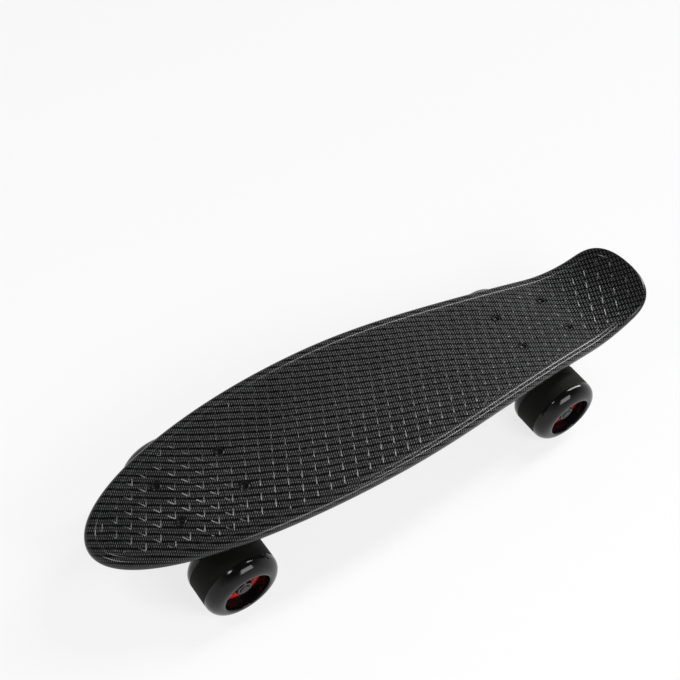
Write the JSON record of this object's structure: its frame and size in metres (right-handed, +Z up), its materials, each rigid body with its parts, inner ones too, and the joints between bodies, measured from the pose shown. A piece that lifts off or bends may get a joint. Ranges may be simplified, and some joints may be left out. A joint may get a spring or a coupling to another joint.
{
  "type": "cruiser skateboard",
  "caption": "Small cruiser skateboard: moulded plastic deck with a kicked tail, two sprung trucks that lean to steer, and soft wheels with red cores that spin on ball bearings.",
  "frame": {"origin": "on the ground, under the middle of the deck's length and width", "axes": "+X towards the nose, +Y to the left of travel, +Z up"},
  "size_m": [0.56, 0.1486, 0.1082],
  "materials": {
    "deck_plastic": "moulded, with a woven-look film under a clear skin",
    "truck_black": "satin",
    "cup_plastic": "matte",
    "axle_steel": "satin",
    "bearing_steel": "polished",
    "zinc": "bright zinc plate",
    "bushing_urethane": "translucent amber urethane",
    "bolt_black": "black oxide",
    "tyre_urethane": "matte tread and glossy lips",
    "core_red": "gloss"
  },
  "bodies": {
    "board": {"deck": "deck_plastic", "front_baseplate": "truck_black", "front_pivot_cup": "cup_plastic", "front_kingpin": "zinc", "front_kingpin_nut": "zinc", "front_boardside_washer": "zinc", "front_roadside_washer": "zinc", "front_boardside_bushing": "bushing_urethane", "front_roadside_bushing": "bushing_urethane", "front_bolt_1": "bolt_black", "front_bolt_2": "bolt_black", "front_bolt_3": "bolt_black", "front_bolt_4": "bolt_black", "front_bolt_nut_1": "bolt_black", "front_bolt_nut_2": "bolt_black", "front_bolt_nut_3": "bolt_black", "front_bolt_nut_4": "bolt_black", "rear_baseplate": "truck_black", "rear_pivot_cup": "cup_plastic", "rear_kingpin": "zinc", "rear_kingpin_nut": "zinc", "rear_boardside_washer": "zinc", "rear_roadside_washer": "zinc", "rear_boardside_bushing": "bushing_urethane", "rear_roadside_bushing": "bushing_urethane", "rear_bolt_1": "bolt_black", "rear_bolt_2": "bolt_black", "rear_bolt_3": "bolt_black", "rear_bolt_4": "bolt_black", "rear_bolt_nut_1": "bolt_black", "rear_bolt_nut_2": "bolt_black", "rear_bolt_nut_3": "bolt_black", "rear_bolt_nut_4": "bolt_black"},
    "front_truck": {"front_hanger": "truck_black", "front_axle": "axle_steel", "front_left_axle_nut": "zinc", "front_right_axle_nut": "zinc"},
    "rear_truck": {"rear_hanger": "truck_black", "rear_axle": "axle_steel", "rear_left_axle_nut": "zinc", "rear_right_axle_nut": "zinc"},
    "front_left_wheel": {"front_left_tyre": "tyre_urethane", "front_left_core": "core_red", "front_left_outer_bearing": "bearing_steel", "front_left_inner_bearing": "bearing_steel"},
    "front_right_wheel": {"front_right_tyre": "tyre_urethane", "front_right_core": "core_red", "front_right_outer_bearing": "bearing_steel", "front_right_inner_bearing": "bearing_steel"},
    "rear_left_wheel": {"rear_left_tyre": "tyre_urethane", "rear_left_core": "core_red", "rear_left_outer_bearing": "bearing_steel", "rear_left_inner_bearing": "bearing_steel"},
    "rear_right_wheel": {"rear_right_tyre": "tyre_urethane", "rear_right_core": "core_red", "rear_right_outer_bearing": "bearing_steel", "rear_right_inner_bearing": "bearing_steel"}
  },
  "joints": [
    {"name": "front_truck_lean", "type": "hinge", "parent": "board", "child": "front_truck", "pos_m": [0.20307, 0, 0.06434], "axis": [0.8984, 0, 0.4391], "range_deg": [-10, 10], "stiffness_Nm_per_rad": 40, "deforming": ["front_boardside_bushing", "front_roadside_bushing"]},
    {"name": "rear_truck_lean", "type": "hinge", "parent": "board", "child": "rear_truck", "pos_m": [-0.18467, 0, 0.06434], "axis": [-0.8984, 0, 0.4391], "range_deg": [-10, 10], "stiffness_Nm_per_rad": 40, "deforming": ["rear_boardside_bushing", "rear_roadside_bushing"]},
    {"name": "front_left_wheel_spin", "type": "hinge", "parent": "front_truck", "child": "front_left_wheel", "pos_m": [0.18229, 0.0518, 0.03272], "axis": [0, 1, 0], "continuous": true},
    {"name": "front_right_wheel_spin", "type": "hinge", "parent": "front_truck", "child": "front_right_wheel", "pos_m": [0.18229, -0.0518, 0.03272], "axis": [0, 1, 0], "continuous": true},
    {"name": "rear_left_wheel_spin", "type": "hinge", "parent": "rear_truck", "child": "rear_left_wheel", "pos_m": [-0.16389, 0.0518, 0.03272], "axis": [0, 1, 0], "continuous": true},
    {"name": "rear_right_wheel_spin", "type": "hinge", "parent": "rear_truck", "child": "rear_right_wheel", "pos_m": [-0.16389, -0.0518, 0.03272], "axis": [0, 1, 0], "continuous": true}
  ]
}
